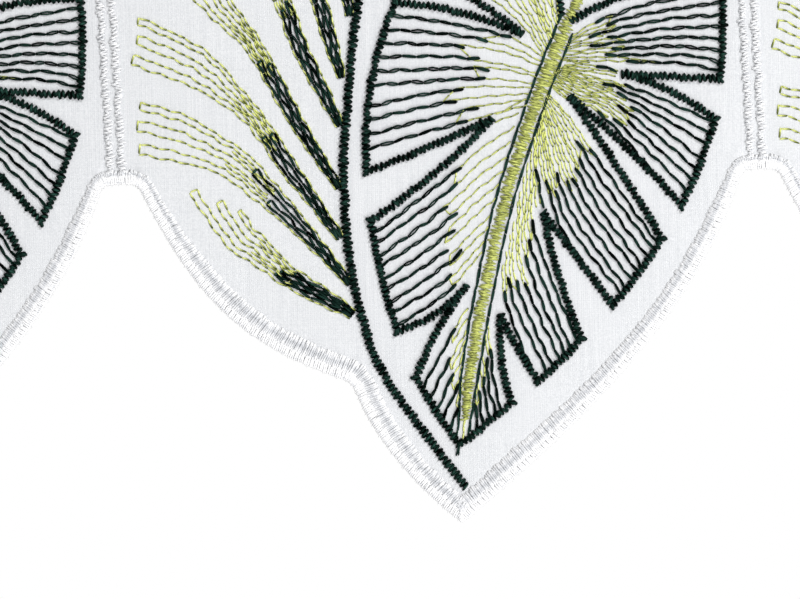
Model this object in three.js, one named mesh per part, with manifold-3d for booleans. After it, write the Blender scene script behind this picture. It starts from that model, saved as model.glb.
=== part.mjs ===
// Cafe curtain: five scalloped repeats of fine white cloth with satin borders and embroidered leaves.
// It hangs flat. The origin is the middle of the top edge, +X runs along the width, +Z points up,
// and the embroidered front faces -Y. All lengths are in millimetres.
//
// Each repeat is drawn in a plane of its own: u runs to the right from the middle of the notch at its
// left, and v runs up from the flat top of that notch.

import * as THREE from 'three';
import { mergeVertices } from 'three/addons/utils/BufferGeometryUtils.js';
import Module from 'manifold-3d';

const wasm = await Module();
wasm.setup();

// Driving dimensions

const REPEAT = 108.3;
const REPEATS = 5;
const HEIGHT = 300;
const SCALLOP_DEPTH = 58.5;
const CLOTH_THICKNESS = 1;
const HEM_HEIGHT = 10;
const PIECE_GAP = 0.3;
const THREAD_RISE = 0.5;

const EDGING_WIDTH = 1.5;
const ROW_WIDTH = 1.5;
const ROW_OFFSET = 1;
const OUTLINE_WIDTH = 1.6;
const STEM_WIDTH = 1.8;

// Worked out from them

const WIDTH = REPEAT * REPEATS;
const TOP = HEIGHT - SCALLOP_DEPTH;
const CLOTH_FRONT = CLOTH_THICKNESS / 2;
const THREAD_BACK = CLOTH_FRONT + PIECE_GAP;
const THREAD_FRONT = THREAD_BACK + THREAD_RISE;
const BORDER_START = EDGING_WIDTH + PIECE_GAP;

// Colours, roughness and metalness of the cloth and the threads

const fabric = (color, roughness) => new THREE.MeshStandardMaterial({ color, roughness, metalness: 0 });
const WHITE_CLOTH = fabric(0xebedf0, 0.9);
const WHITE_THREAD = fabric(0xf6f7f9, 0.5);
const DARK_THREAD = fabric(0x16261f, 0.5);
const LIGHT_THREAD = fabric(0xb2b981, 0.5);

// The scalloped edge of one repeat, from the middle of one notch to the middle of the next. The left
// flank has a step in it, and the right flank is one long curve.

const NOTCH_RIGHT = { flat: 2.2, round: 3.4, leave: [4.3, -2.4] };
const STEP = { arrive: [37.6, -34], corner: [38.8, -34.6], leave: [39.4, -36.2] };
const TIP = [56.7, -SCALLOP_DEPTH];
const NOTCH_LEFT = { arrive: [104.5, -2.4], round: 105.1, flat: 106.3 };

// How far into the cloth the wide border reaches. It is narrow at the notches and uneven between them.
// share is the place along the edge of one repeat.

const BORDER_REACH = [
  { share: 0, inner: 2.4 },
  { share: 0.04, inner: 2.5 },
  { share: 0.13, inner: 3.7 },
  { share: 0.2, inner: 4.0 },
  { share: 0.3, inner: 3.9 },
  { share: 0.5, inner: 3.5 },
  { share: 0.6, inner: 4.0 },
  { share: 0.76, inner: 3.2 },
  { share: 0.93, inner: 3.0 },
  { share: 0.97, inner: 2.4 },
  { share: 1, inner: 2.4 },
];

// The rows above an inner notch lean to the left up to the bend. foot and above are their shifts in u.

const ROW_LEAN = { foot: -0.4, above: -1.6, bend: 36 };

function scallopEdge() {
  const edge = new THREE.Path();
  edge.moveTo(0, 0);
  edge.lineTo(NOTCH_RIGHT.flat, 0);
  edge.quadraticCurveTo(NOTCH_RIGHT.round, 0, ...NOTCH_RIGHT.leave);
  edge.bezierCurveTo(12.9, -20, 20.4, -27.8, ...STEP.arrive);
  edge.quadraticCurveTo(...STEP.corner, ...STEP.leave);
  edge.bezierCurveTo(41.6, -42.8, 48.4, -52, ...TIP);
  edge.bezierCurveTo(74.5, -44.3, 96, -25.6, ...NOTCH_LEFT.arrive);
  edge.quadraticCurveTo(NOTCH_LEFT.round, 0, NOTCH_LEFT.flat, 0);
  edge.lineTo(REPEAT, 0);
  return edge.getPoints(6);
}

// The split leaf. Its outline runs clockwise from the right of the notch where the stalk leaves, round
// the point, to the left of that notch. bow is how far the run up to that point bulges to its left.

const LEAF_OUTLINE = [
  { u: 77.0, v: 25.5, bow: 0 },
  { u: 102.5, v: 31.5, bow: 2 },
  { u: 102.0, v: 15.2, bow: 0.5 },
  { u: 85.5, v: 16.5, bow: 0 },
  { u: 101.0, v: 8.5, bow: 0.9 },
  { u: 95.0, v: -6.0, bow: 0.4 },
  { u: 76.5, v: 13.0, bow: -0.5 },
  { u: 91.5, v: -11.5, bow: 0.3 },
  { u: 83.0, v: -22.5, bow: 0.3 },
  { u: 71.5, v: -6.5, bow: 0 },
  { u: 77.5, v: -28.0, bow: -0.5 },
  { u: 70.0, v: -35.0, bow: 0.3 },
  { u: 64.0, v: -23.5, bow: 0.3 },
  { u: 65.5, v: -38.5, bow: -0.8 },
  { u: 56.5, v: -45.5, bow: 0.2 },
  { u: 49.5, v: -34.0, bow: 0.2 },
  { u: 58.5, v: -18.5, bow: 0.7 },
  { u: 46.5, v: -26.0, bow: 1.2 },
  { u: 42.5, v: -7.3, bow: 0.4 },
  { u: 63.5, v: 9.5, bow: -0.8 },
  { u: 42.0, v: 1.0, bow: 0.3 },
  { u: 47.5, v: 29.5, bow: 1.7 },
  { u: 69.0, v: 23.5, bow: 1 },
  { u: 54.0, v: 34.0, bow: -0.4 },
  { u: 60.0, v: 47.5, bow: 0.6 },
  { u: 74.0, v: 43.0, bow: 2.4 },
  { u: 75.4, v: 26.5, bow: 0.3 },
];

// The midrib from the leaf's point up to the end of its stalk, with its width at each place

const LEAF_MIDRIB = [
  { u: 57.3, v: -43.2, width: 0.8 },
  { u: 58.7, v: -33, width: 1.6 },
  { u: 61.1, v: -21, width: 2 },
  { u: 65.2, v: -4.3, width: 2.2 },
  { u: 71.1, v: 12.5, width: 2.4 },
  { u: 76.1, v: 24.3, width: 2.2 },
  { u: 78.9, v: 30, width: 1.2 },
  { u: 83, v: 37.5, width: 1 },
  { u: 89, v: 45.5, width: 1 },
];

// The palm frond's stem, from its foot at the scallop's point to its upper end

const FROND_STEM = [
  { u: 57.1, v: -51.5, width: STEM_WIDTH },
  { u: 52.9, v: -46.4, width: STEM_WIDTH },
  { u: 46.3, v: -36.9, width: STEM_WIDTH },
  { u: 41.9, v: -28.3, width: STEM_WIDTH },
  { u: 38.8, v: -14, width: STEM_WIDTH },
  { u: 38.1, v: 0.5, width: STEM_WIDTH },
  { u: 39.2, v: 14, width: STEM_WIDTH },
  { u: 41.3, v: 30, width: STEM_WIDTH },
  { u: 45.0, v: 46, width: STEM_WIDTH },
  { u: 50, v: 60, width: STEM_WIDTH },
  { u: 56, v: 72, width: 1.2 },
];

const LEAF_STEPS = 4;
const RIB_STEPS = 14;
const STEM_STEPS = 22;

// Lines and ribbons in the drawing plane

const at = (u, v) => new THREE.Vector2(u, v);

function leftOf(from, to) {
  const along = to.clone().sub(from).normalize();
  return at(-along.y, along.x);
}

// The sideways direction at each point of a line, lengthened at a corner so that a line shifted by it
// keeps its distance
function sideways(line) {
  return line.map((point, i) => {
    const before = leftOf(line[Math.max(i - 1, 0)], line[Math.max(i, 1)]);
    const after = leftOf(line[Math.min(i, line.length - 2)], line[Math.min(i + 1, line.length - 1)]);
    const middle = before.clone().add(after).normalize();
    return middle.divideScalar(middle.dot(before));
  });
}

function distanceToLine(point, line) {
  let nearest = Infinity;
  for (let i = 1; i < line.length; i++) {
    const run = line[i].clone().sub(line[i - 1]);
    const share = point.clone().sub(line[i - 1]).dot(run) / run.lengthSq();
    const foot = line[i - 1].clone().addScaledVector(run, THREE.MathUtils.clamp(share, 0, 1));
    nearest = Math.min(nearest, foot.distanceTo(point));
  }
  return nearest;
}

// The line shifted into the cloth, without the points that a sharp corner brings too close
function shifted(line, distanceAt) {
  const slack = 0.02;
  const sides = sideways(line);
  const moved = line.map((point, i) => point.clone().addScaledVector(sides[i], distanceAt(i)));
  return moved.filter((point, i) => distanceToLine(point, line) > distanceAt(i) - slack);
}

// A closed outline of the given width round a line
function ribbon(line, widthAt) {
  const sides = sideways(line);
  const left = line.map((point, i) => point.clone().addScaledVector(sides[i], widthAt(i) / 2));
  const right = line.map((point, i) => point.clone().addScaledVector(sides[i], -widthAt(i) / 2));
  return [...right, ...left.reverse()];
}

// An arc from one point to the next, which bulges to its left by bow
function bowed(from, to) {
  const start = at(from.u, from.v);
  const end = at(to.u, to.v);
  const side = leftOf(start, end);
  return Array.from({ length: LEAF_STEPS + 1 }, (_, i) => {
    const share = i / LEAF_STEPS;
    const bulge = 4 * to.bow * share * (1 - share);
    return start.clone().lerp(end, share).addScaledVector(side, bulge);
  });
}

// A smooth line through a table's places, with the width that the table gives on the way
function smooth(table, steps, extraWidth = 0) {
  const places = new THREE.CatmullRomCurve3(table.map(({ u, v, width }) => new THREE.Vector3(u, v, width)));
  const along = places.getPoints(steps);
  const line = along.map(({ x, y }) => at(x, y));
  return ribbon(line, (i) => along[i].z + extraWidth);
}

// Solids

function extruded(outline, back, front) {
  const geometry = new THREE.ExtrudeGeometry(new THREE.Shape(outline), {
    depth: front - back,
    bevelEnabled: false,
  });
  return geometry.translate(0, 0, back);
}

function toSolid(geometry) {
  const plain = geometry.clone();
  plain.deleteAttribute('normal');
  plain.deleteAttribute('uv');
  const merged = mergeVertices(plain);
  const mesh = new wasm.Mesh({
    numProp: 3,
    vertProperties: new Float32Array(merged.attributes.position.array),
    triVerts: new Uint32Array(merged.index.array),
  });
  return new wasm.Manifold(mesh);
}

function toGeometry(solid) {
  const { vertProperties, triVerts } = solid.getMesh();
  const geometry = new THREE.BufferGeometry();
  geometry.setAttribute('position', new THREE.BufferAttribute(vertProperties, 3));
  geometry.setIndex(new THREE.BufferAttribute(triVerts, 1));
  geometry.computeVertexNormals();
  return geometry;
}

const joined = (solids) => solids.reduce((all, solid) => all.add(solid));

// The drawing plane stands up in the part: u becomes X, v becomes Z, and the front becomes -Y.

const curtain = new THREE.Group();
curtain.rotation.x = Math.PI / 2;
curtain.position.set(-WIDTH / 2, 0, -TOP);

function addPiece(name, geometry, material, repeat = 0) {
  const mesh = new THREE.Mesh(geometry, material);
  mesh.name = name;
  mesh.position.x = repeat * REPEAT;
  curtain.add(mesh);
}

// The whole lower edge, repeat after repeat

function lowerEdge() {
  const one = scallopEdge();
  const line = [];
  for (let repeat = 0; repeat < REPEATS; repeat++) {
    const first = repeat === 0 ? 0 : 1;
    for (const point of one.slice(first)) {
      line.push(at(point.x + repeat * REPEAT, point.y));
    }
  }
  return line.filter((point, i) => i === 0 || i === line.length - 1 || point.x % REPEAT > 0.01);
}

const edge = lowerEdge();

// The reach of the wide border at each point of the lower edge
function borderReach() {
  const lengths = edge.map((point, i) => (i === 0 ? 0 : point.distanceTo(edge[i - 1])));
  const total = lengths.reduce((sum, length) => sum + length, 0);
  let place = 0;
  return lengths.map((length) => {
    place += length;
    const share = Math.min((place / total) * REPEATS, REPEATS) % 1;
    const next = BORDER_REACH.findIndex((row) => row.share > share);
    const [low, high] = [BORDER_REACH[next - 1], BORDER_REACH[next]];
    return THREE.MathUtils.mapLinear(share, low.share, high.share, low.inner, high.inner);
  });
}

// Cloth, with its top hem turned to the back

function cloth() {
  const outline = [...edge, at(WIDTH, TOP), at(0, TOP)];
  const sheet = extruded(outline, -CLOTH_FRONT, CLOTH_FRONT);
  const turned = [at(0, TOP - HEM_HEIGHT), at(WIDTH, TOP - HEM_HEIGHT), at(WIDTH, TOP), at(0, TOP)];
  const hem = extruded(turned, -CLOTH_FRONT - CLOTH_THICKNESS, 0);
  return toGeometry(toSolid(sheet).add(toSolid(hem)));
}

addPiece('cloth', cloth(), WHITE_CLOTH);

// White satin along the lower edge

function borderBand(startAt, endAt) {
  const outline = [...shifted(edge, startAt), ...shifted(edge, endAt).reverse()];
  return extruded(outline, THREAD_BACK, THREAD_FRONT);
}

const reach = borderReach();
addPiece('border_edge', borderBand(() => 0, () => EDGING_WIDTH), WHITE_THREAD);
addPiece('border_satin', borderBand(() => BORDER_START, (i) => reach[i]), WHITE_THREAD);

// White rows up the cloth, on both sides of each line between repeats and inside the side edges

function row(middle, straight) {
  const foot = BORDER_REACH[0].inner + PIECE_GAP;
  const [low, high] = straight ? [0, 0] : [ROW_LEAN.foot, ROW_LEAN.above];
  const route = [at(middle + low, foot), at(middle + high, ROW_LEAN.bend), at(middle + high, TOP)];
  return extruded(ribbon(route, () => ROW_WIDTH), THREAD_BACK, THREAD_FRONT);
}

for (let repeat = 0; repeat < REPEATS; repeat++) {
  const atLeftSide = repeat === 0;
  const atRightSide = repeat === REPEATS - 1;
  addPiece(`row_${2 * repeat + 1}`, row(ROW_OFFSET, atLeftSide), WHITE_THREAD, repeat);
  addPiece(`row_${2 * repeat + 2}`, row(REPEAT - ROW_OFFSET, atRightSide), WHITE_THREAD, repeat);
}

// The split leaf's outline, with room for the midrib where that passes out between the lobes

function leafOutline() {
  const strokes = [];
  for (let i = 1; i < LEAF_OUTLINE.length; i++) {
    const line = bowed(LEAF_OUTLINE[i - 1], LEAF_OUTLINE[i]);
    strokes.push(toSolid(extruded(ribbon(line, () => OUTLINE_WIDTH), THREAD_BACK, THREAD_FRONT)));
  }
  const corners = LEAF_OUTLINE.slice(1, -1).map(({ u, v }) => {
    const disc = new THREE.Shape().absarc(u, v, OUTLINE_WIDTH / 2, 0, 2 * Math.PI);
    return toSolid(extruded(disc.getPoints(4).slice(0, -1), THREAD_BACK, THREAD_FRONT));
  });
  const room = extruded(smooth(LEAF_MIDRIB, RIB_STEPS, 2 * PIECE_GAP), 0, THREAD_FRONT + PIECE_GAP);
  return toGeometry(joined([...strokes, ...corners]).subtract(toSolid(room)));
}

const outline = leafOutline();
const midrib = extruded(smooth(LEAF_MIDRIB, RIB_STEPS), THREAD_BACK, THREAD_FRONT);
const stem = extruded(smooth(FROND_STEM, STEM_STEPS), THREAD_BACK, THREAD_FRONT);

for (let repeat = 0; repeat < REPEATS; repeat++) {
  addPiece(`leaf_outline_${repeat + 1}`, outline, DARK_THREAD, repeat);
  addPiece(`leaf_midrib_${repeat + 1}`, midrib, LIGHT_THREAD, repeat);
  addPiece(`frond_stem_${repeat + 1}`, stem, DARK_THREAD, repeat);
}

export default curtain;
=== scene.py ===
# The looks of the cafe curtain: its cloth sheet, and every embroidery stitch as a thread of its own.
# Lengths are in millimetres up to the last step, which writes metres. Each repeat is drawn in a plane
# of its own: u runs right from the middle of the notch at its left, v runs up from that notch's flat
# top, and h is the distance in front of the middle of the cloth.

import math

import bpy
import numpy as np
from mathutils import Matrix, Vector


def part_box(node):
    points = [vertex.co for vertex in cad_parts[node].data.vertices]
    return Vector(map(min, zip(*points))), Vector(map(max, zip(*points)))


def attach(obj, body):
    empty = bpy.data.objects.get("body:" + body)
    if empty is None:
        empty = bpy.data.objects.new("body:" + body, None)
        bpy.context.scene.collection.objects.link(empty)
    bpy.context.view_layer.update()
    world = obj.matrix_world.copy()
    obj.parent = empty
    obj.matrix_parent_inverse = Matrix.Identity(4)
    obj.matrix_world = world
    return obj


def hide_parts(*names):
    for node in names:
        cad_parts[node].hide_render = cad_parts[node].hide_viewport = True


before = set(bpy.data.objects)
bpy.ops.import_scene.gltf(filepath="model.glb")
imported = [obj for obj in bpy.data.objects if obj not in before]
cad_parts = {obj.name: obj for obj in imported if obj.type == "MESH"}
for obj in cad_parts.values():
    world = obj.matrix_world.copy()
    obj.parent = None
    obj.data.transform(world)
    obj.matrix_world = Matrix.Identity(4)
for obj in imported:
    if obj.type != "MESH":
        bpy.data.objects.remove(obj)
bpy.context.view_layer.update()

# Sizes from the frame

MM = 0.001
cloth_low, cloth_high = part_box("cloth")
REPEATS = sum(name.startswith("leaf_outline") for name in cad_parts)
WIDTH = (cloth_high[0] - cloth_low[0]) / MM
HEIGHT = (cloth_high[2] - cloth_low[2]) / MM
REPEAT = WIDTH / REPEATS

# Sizes of the cloth. Its columns have UPRIGHT points up the front and FOLD_STEPS round the top fold.

SCALLOP_DEPTH = 58.5
TOP = HEIGHT - SCALLOP_DEPTH
HEM_HEIGHT = 10.0
FOLD_RADIUS = 0.275
SHEET = 0.4
FRONT = SHEET / 2
UPRIGHT = 32
FOLD_STEPS = 7

# Sizes of the white embroidery, the first ones measured in from the cloth's edge

EDGING_OUTER = -0.22
EDGING_INNER = 1.6
BORDER_OUTER = 0.9
BORDER_SHORT = 0.1
BORDER_DEPTH = 2.4
BORDER_PITCH = 0.36
WHITE_RADIUS = 0.25
WHITE_SQUASH = 0.28
ROW_WIDTH = 1.55
ROW_OFFSET = 1.0
ROW_FOOT = 1.3
ROW_BEND = 36.0
ROW_HEAD = 0.4
ROW_LEAN_FOOT = -0.4
ROW_LEAN_ABOVE = -1.6
ROW_PITCH = 0.31
ROW_RISE = 0.22
ROW_RADIUS = 0.19
ROW_SQUASH = 0.75
HEM_STITCH = 2.6
HEM_STITCH_HEIGHT = 8.5
HEM_STITCH_RADIUS = 0.14
HEM_MARGIN = 0.6

# Sizes of the green satin lines. The midrib's upper layer is narrower and finer by UPPER_RIB.

OUTLINE_WIDTH = 1.4
SATIN_PITCH = 0.4
SATIN_RADIUS = 0.3
SATIN_RISE = 0.42
SPIKE = 1.0
TIP_SPIKE = 1.95
RIB_PITCH = 0.29
RIB_RADIUS = 0.165
RIB_RISE = 0.3
RIB_SPREAD = 0.4
UPPER_RIB = 0.85
RIB_TAIL_STITCH = 1.1
RIB_TAIL_RADIUS = 0.19

# Sizes of the green running stitches

VEIN_STITCH = 2.1
VEIN_RADIUS = 0.165
VEIN_SWAY = 0.17
VEIN_HEAD = 1.3
VEIN_SHORT = 0.2
ROPE_STITCH = 2.4
ROPE_RADIUS = 0.17
ROPE_SWAY = 0.08
ROPE_HALF = 0.09
LOOP_STITCH = 2.3
LOOP_RADIUS = 0.265
LOOP_SQUASH = 0.75
LOOP_SWAY = 0.14
LEAFLET_SWAY = 0.1
LIGHT_SWAY = 0.12
LIGHT_END_SWAY = 0.03
LIGHT_SHORT = 1.0
LIGHT_SQUASH = 0.7
# painted shade on the right side of each light thread's stitches
SIDE_SHADE = 0.25

# Heights on which the threads lie. A thread that crosses its neighbour lies higher by LIFT.

ROW_BASE = FRONT + 0.02
LIGHT_BASE = FRONT - 0.05
UPPER_RIB_BASE = FRONT + 0.04
SATIN_BASE = FRONT + 0.08
DARK_BASE = FRONT + 0.05
LIFT = 0.05
HEAD_LIFT = 0.12

# How much the sewing strays. Tones stray by shares, holes by a share of a stitch, the rest by
# millimetres. SWAY_RANGE and DARK_RANGE are factors for a stitch's sway and for a dark one's tone.

SATIN_TONE_STRAY = 0.08
RUN_TONE_STRAY = 0.1
ROW_TONE_STRAY = 0.25
BACK_TONE_STRAY = 0.15
SATIN_HEIGHT_STRAY = 0.05
RUN_HEIGHT_STRAY = 0.04
SLANT_STRAY = 0.12
OUTER_STRAY = 0.06
INNER_STRAY = 0.2
SPIKE_STRAY = 0.1
FINGER_STRAY = 0.12
HOLE_STRAY = 0.2
SWAY_RANGE = (0.2, 1.3)
DARK_RANGE = (0.0, 0.8)

rng = np.random.default_rng(27)


# Lines in the drawing plane


def bezier(points, steps):
    """Points along a Bezier curve of any degree, without its first point."""
    t = np.linspace(0, 1, steps + 1)[1:, None]
    level = [np.asarray(p, float) for p in points]
    while len(level) > 1:
        level = [a * (1 - t) + b * t for a, b in zip(level[:-1], level[1:])]
    return level[0]


def scallop_edge():
    """The lower edge of one repeat, from the middle of one notch to the middle of the next."""
    pieces = [
        [(0, 0), (1.1, 0), (2.2, 0)],
        bezier([(2.2, 0), (3.4, 0), (4.3, -2.4)], 5),
        bezier([(4.3, -2.4), (12.9, -20), (20.4, -27.8), (37.6, -34)], 15),
        bezier([(37.6, -34), (38.8, -34.6), (39.4, -36.2)], 3),
        bezier([(39.4, -36.2), (41.6, -42.8), (48.4, -52), (56.7, -SCALLOP_DEPTH)], 13),
        bezier([(56.7, -SCALLOP_DEPTH), (74.5, -44.3), (96, -25.6), (104.5, -2.4)], 22),
        bezier([(104.5, -2.4), (105.1, 0), (106.3, 0)], 5),
        [(REPEAT, 0)],
    ]
    return np.vstack(pieces)


BORDER_REACH = [
    # share of the edge's length, how far in the wide border reaches there
    (0, 2.4), (0.04, 2.5), (0.13, 3.7), (0.2, 4), (0.3, 3.9), (0.5, 3.5),
    (0.6, 4), (0.76, 3.2), (0.93, 3), (0.97, 2.4), (1, 2.4),
]

LEAF_OUTLINE = [
    # u, v, bow
    (77, 25.5, 0),
    (102.5, 31.5, 2),
    (102, 15.2, 0.5),
    (85.5, 16.5, 0),
    (101, 8.5, 0.9),
    (95, -6, 0.4),
    (76.5, 13, -0.5),
    (91.5, -11.5, 0.3),
    (83, -22.5, 0.3),
    (71.5, -6.5, 0),
    (77.5, -28, -0.5),
    (70, -35, 0.3),
    (64, -23.5, 0.3),
    (65.5, -38.5, -0.8),
    (56.5, -45.5, 0.2),
    (49.5, -34, 0.2),
    (58.5, -18.5, 0.7),
    (46.5, -26, 1.2),
    (42.5, -7.3, 0.4),
    (63.5, 9.5, -0.8),
    (42, 1, 0.3),
    (47.5, 29.5, 1.7),
    (69, 23.5, 1),
    (54, 34, -0.4),
    (60, 47.5, 0.6),
    (74, 43, 2.4),
    (75.4, 26.5, 0.3),
]

# The outline's inner corners and its lower tip, as rows of the table above

INNER_CORNERS = (3, 6, 9, 12, 16, 19, 22)
TIP_CORNER = 14

LEAF_MIDRIB = [
    # u, v, width
    (57.5, -41.4, 0.9),
    (58, -38, 1.4),
    (58.7, -33, 1.7),
    (61.1, -21, 1.95),
    (65.2, -4.3, 1.9),
    (71.1, 12.5, 2.3),
    (76.1, 24.3, 2.2),
    (78.9, 30, 1.2),
    (83, 37.5, 1),
    (89, 45.5, 1),
]

# Where the thread below the midrib runs, and where the dark lines beside the midrib start

RIB_TAIL = [(57.5, -41.2), (57.2, -44.6)]
ROPE_FOOT = (57.1, -44.4, 0.0)

FLANK = [
    # v, how far the dark lines beside the midrib are from its middle
    (-44, 0.9), (-38, 1.2), (-35, 1.4), (-30, 1.5), (-21, 1.5), (25, 1.5),
]

FROND_STEM = [
    # u, v, width
    (57.5, -52.7, 1.7),
    (52.9, -46.4, 1.7),
    (46.3, -36.9, 1.7),
    (41.9, -28.3, 1.7),
    (38.8, -14, 1.7),
    (38.1, 0.5, 1.7),
    (39.2, 14, 1.7),
    (41.3, 30, 1.7),
    (45, 46, 1.7),
    (50, 60, 1.7),
    (56, 72, 1.2),
]

# The fans of veins. first and last are the fan's two outer lines, from the midrib's flank to the outline.
# dark says where each vein turns from light to dark, as its u or v there. lines is the number of light
# lines, over how far they run on beside the dark part, and opening how far a vein's two threads part.
# A row without the last two has the ones that fan gives.

FANS = [
    # first, last, axis, dark, lines, over, opening
    ([(77.7, 23.3), (81.2, 25.2), (88, 27.6), (94.5, 28.9), (101.8, 29.8)],
     [(76.2, 19), (83, 18.7), (93, 18.2), (98, 17.5), (101.2, 16.4)],
     "u", [81.2, 82.9, 80.1, 83.4, 80.1, 83.9, 82.9, 86.5], 10, (1, 6), 0.12),
    ([(75.2, 17.9), (80, 16.3), (85.8, 14.6), (93, 11.6), (99.9, 8)],
     [(73.4, 14.5), (77, 11.9), (81.2, 10.2), (86.5, 4.5), (94.6, -5)],
     "u", [85.8, 82, 84.7, 86.7, 84.4, 86.3, 84, 81.2], 14),
    ([(73.2, 13.2), (76.5, 9.3), (79.9, 4), (84.3, -2.8), (90.3, -11.8)],
     [(71.5, 8.4), (71.6, 3.5), (73.1, -4.6), (75.4, -10.9), (82.2, -21)],
     "v", [4, 5.3, 2.6, 0.7, -0.8, -1.4, -0.2, -3.1, -1], 14),
    ([(70.5, 6.5), (70.3, 0), (69.7, -7.7), (72.4, -17), (76.6, -28.6)],
     [(64.6, -16), (64.5, -18), (64.8, -20.5), (66, -25), (70, -33.8)],
     "v", [-7.7, -10.8, -13.5, -18.6, -18, -17.4, -19.7], 10),
    ([(61.8, -26), (62.2, -29.4), (62.6, -34.7), (63.3, -39.3)],
     [(59.6, -37), (59.5, -38.8), (59.5, -41), (59.4, -43)],
     "v", [-29.4, -30.9, -34, -36.5, -38.8], 6, (0.5, 1.5)),
    ([(57, -36.5), (56.6, -38.7), (55.9, -40.6), (55.1, -43.2)],
     [(58.1, -23), (56.3, -25.7), (53.2, -31.2), (51, -35.9)],
     "v", [-38.7, -35.3, -33.2, -30.9, -25.7], 8, (0.5, 2)),
    ([(66.5, 7.6), (61.5, 4.5), (57.95, 1.5), (51.7, -3.2), (43, -9.3)],
     [(60.5, -14), (58.3, -16.5), (56.7, -18.4), (52.3, -21.7), (46.9, -24.7)],
     "u", [57.95, 57.5, 55.5, 57.1, 56.6, 55.3, 57.9, 55.8, 56.7], 10, (1, 3), 0.1),
    ([(71.6, 20.2), (67, 23), (59, 25.2), (51.4, 26.7), (47.2, 27.6)],
     [(68.6, 11.4), (64.1, 10.3), (59.3, 9.2), (51.7, 7.3), (42.8, 4.3)],
     "u", [67, 63.2, 59.2, 61.8, 63.2, 62.4, 58.7, 57.7, 61, 59.3], 10, (1, 3), 0.12),
    ([(73.4, 23.5), (70.8, 29), (67.4, 35), (63.6, 41), (60.3, 46.4)],
     [(71.9, 20.4), (69.2, 24.8), (64.1, 29.5), (59.3, 32.4), (54.9, 35.2)],
     "v", [38, 35.5, 36.5, 34.5, 33.5, 32.2], 6, (1, 3), 0.1),
    ([(75.1, 26.9), (74.7, 29.4), (74, 34), (73.5, 38.5), (73, 42.4)],
     [(73.4, 23.5), (71.1, 29), (68, 35), (64.6, 41), (61.6, 46)],
     "v", [34, 36.5, 33.5, 36, 34.5, 38], 6, (1, 3), 0.1),
]

LIGHT_FILLERS = [
    # short light lines in the corners between the fans, from the flank out
    [(76.3, 18.8), (85, 17)],
    [(76, 18.3), (84.8, 16.6)],
    [(75.6, 17.9), (84.5, 16.1)],
    [(69.1, 12.6), (64.1, 10.1)],
    [(67.9, 10.2), (63.8, 8.8)],
    [(75.3, 16.9), (80.5, 15.2)],
    [(75.8, 18.1), (80.2, 18.6)],
    [(75.4, 17.4), (80.8, 17.1)],
    [(75, 16.3), (79.8, 14)],
    [(75.6, 17.8), (79.4, 17.7)],
    [(70.9, 7), (70.7, 1), (71.2, -5.2)],
    [(71.1, 7.6), (71.4, 1), (72.7, -3.6)],
    [(70.6, 6), (70.4, 0.5), (70.4, -5.8)],
]

DARK_FILLERS = [
    # short dark veins that end in an inner corner
    [(81.1, 18), (84.7, 16.9)],
    [(70.6, 0.9), (71.1, -2.5), (71.6, -6)],
]

# The frond's leaflets. path runs from the stem to the tip as u, v and half width. turns are the places
# where its dark loops turn round, and shorter says how much each of its three fingers lacks.

LEAFLETS = [
    # path, turns, shorter
    ([(39.5, -23.2, 0.7), (34.6, -20.2, 1.4), (31.3, -18.2, 1.6), (27.2, -15.5, 1.75),
      (23.5, -12, 2.3), (20, -9, 2.7), (14.8, -0.4, 3.2)],
     [(28.9, -16.9), (26.8, -15.6), (27.9, -14.3)], (6.9, 3.6, 0)),
    ([(39, -18.2, 0.6), (34.3, -12.3, 1.05), (30.5, -8, 1.45), (27.2, -4.4, 1.85), (23, -0.1, 2.35),
      (20, 2.6, 2.7), (16, 5, 3), (10, 7.6, 4), (2.75, 9.65, 4.3)],
     [(23.2, 1.5), (25.3, -3.6)], (0, 0.4, 1.5)),
    ([(37.5, -10.5, 0.7), (32.6, -3.2, 1.05), (29.5, 1, 1.45), (24, 9.4, 1.5), (20.1, 13.8, 1.9),
      (13, 19.7, 3.3), (2.85, 24.3, 4)],
     [(25.6, 7.6), (24.5, 7)], (0, 0.7, 1.0)),
    ([(37.5, -2, 0.6), (30.8, 9.1, 1.2), (25.6, 18.9, 1.35), (22.5, 24, 1.5), (18.7, 28.5, 2.1),
      (13.5, 35, 3.1), (7, 41, 3.9)],
     [(26, 19.4), (25.2, 20.7)], (0.3, 0, 0.6)),
    ([(37.9, 8.5, 0.6), (34.4, 15.8, 1.15), (31.1, 22.7, 1.3), (28.4, 30.4, 1.4), (25, 37, 1.9),
      (20, 46, 3.1), (14, 54, 3.8)],
     [(28.4, 30), (28.1, 28.6)], (0, 0.4, 0.7)),
    ([(38.3, 16.6, 0.6), (36.4, 23.4, 1.15), (34.7, 30.2, 1.3), (32.5, 38, 1.4), (30, 46, 2.2),
      (25, 58, 3.6)],
     [(33.2, 36), (32.6, 38)], (0, 0.4, 0.6)),
    ([(39.8, 27, 0.6), (38.6, 36, 1.15), (37.4, 44, 1.3), (35.4, 53, 2), (30.5, 66, 3.2)],
     [(37.6, 43), (37.1, 45)], (0.4, 0, 0.6)),
    ([(43, 39, 0.6), (42.8, 47, 1.1), (42.4, 54, 1.3), (41, 63, 2), (38, 73, 2.8)],
     [(42.4, 54), (42.2, 55.5)], (0, 0.4, 0.6)),
    ([(47.3, 53, 0.6), (48, 59, 1), (48.4, 65, 1.3), (48.4, 72, 1.8), (47.4, 80, 2.3)],
     [(48.3, 64), (48.4, 65.5)], (0.4, 0, 0.6)),
]

# Places across a leaflet, as shares of its half width: the light lines of each finger, further light
# lines where the fingers join, and how far out the dark loops reach

FINGER_LANES = ((-1.0, -0.72), (-0.28, 0.12), (0.6, 1.0))
JOINT_LANES = (-0.5, 0.36)
DARK_SPREAD = 0.68


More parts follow.
